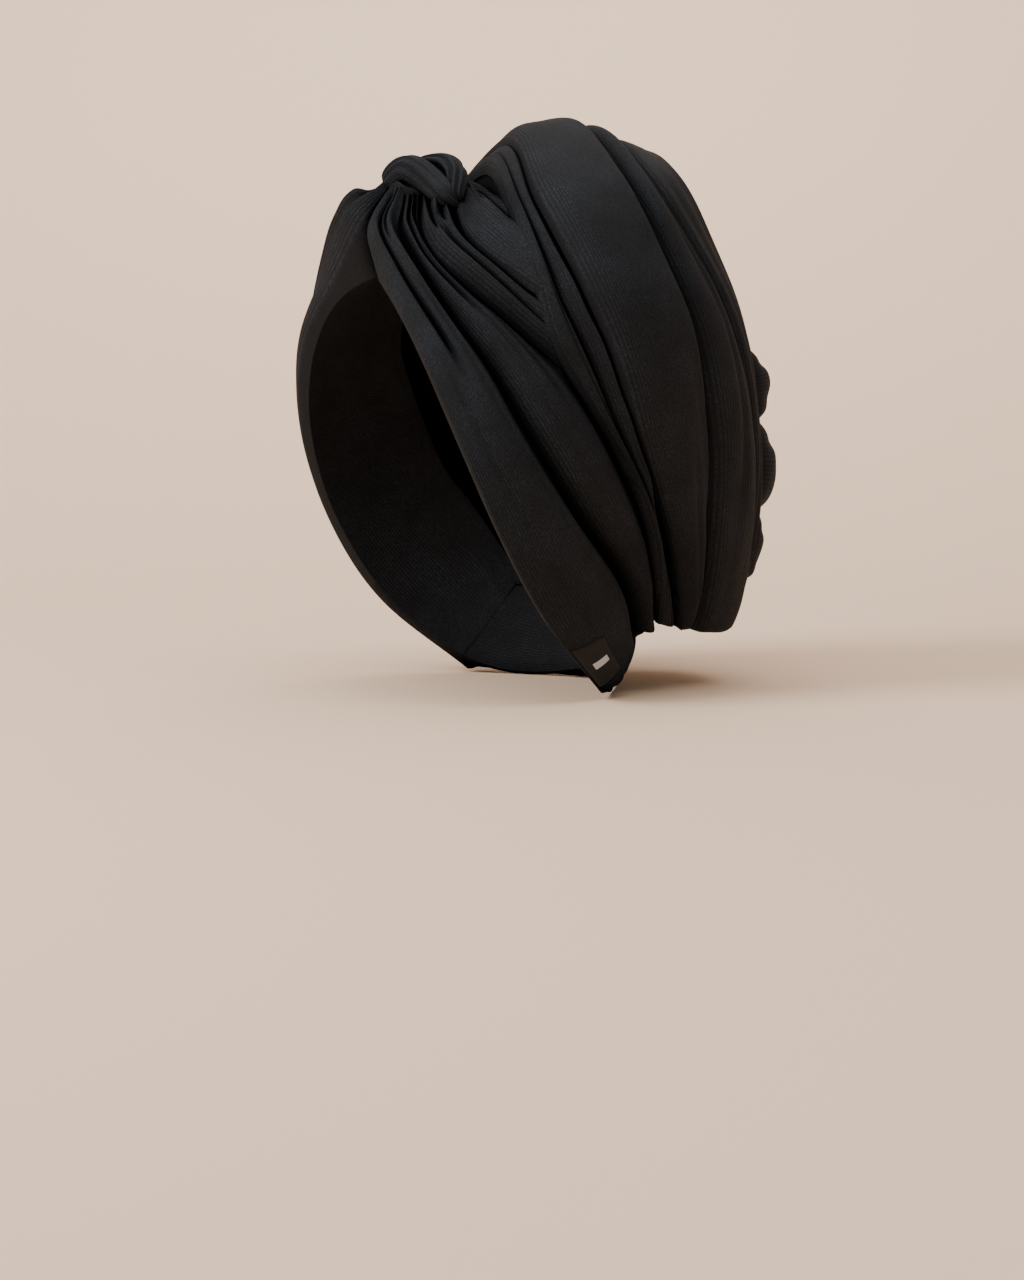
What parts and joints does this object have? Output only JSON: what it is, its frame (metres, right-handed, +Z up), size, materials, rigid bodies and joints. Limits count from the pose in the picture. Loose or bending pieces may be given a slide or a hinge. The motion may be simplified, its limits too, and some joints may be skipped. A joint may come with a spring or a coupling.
{
  "type": "turban headwrap",
  "caption": "Black jersey turban headwrap: pleated head band with a knot above the forehead, and a deep wound crown of layered folds with a tucked tail behind.",
  "frame": {"origin": "the mount head_seat: the top of the wearer's head, where the inside of the wrap sits", "axes": "+Z up from the head, the face looks along -Y, the wearer's left side is +X"},
  "size_m": [0.1966, 0.2098, 0.2643],
  "materials": {
    "jersey": "matt black knitted jersey with a fine grain",
    "label": "black woven tape, a little smoother than the jersey"
  },
  "bodies": {
    "root": {"band_front_left": "jersey", "band_rear_left": "jersey", "tuck_1_left": "jersey", "tuck_2_left": "jersey", "band_front_right": "jersey", "band_rear_right": "jersey", "tuck_1_right": "jersey", "tuck_2_right": "jersey", "tuck_top": "jersey", "knot_core": "jersey", "nape_lower": "jersey", "nape_upper": "jersey", "crown_roll_front": "jersey", "crown_valley": "jersey", "crown_main_pleat": "jersey", "crown_side_pleat": "jersey", "crown_back_pleat": "jersey", "crown_back_panel": "jersey", "tail_lobe_1": "jersey", "tail_lobe_2": "jersey", "tail_lobe_3": "jersey", "crown_bottom": "jersey", "label": "label", "knot_loop_back": "jersey", "knot_loop_front": "jersey"}
  },
  "joints": []
}
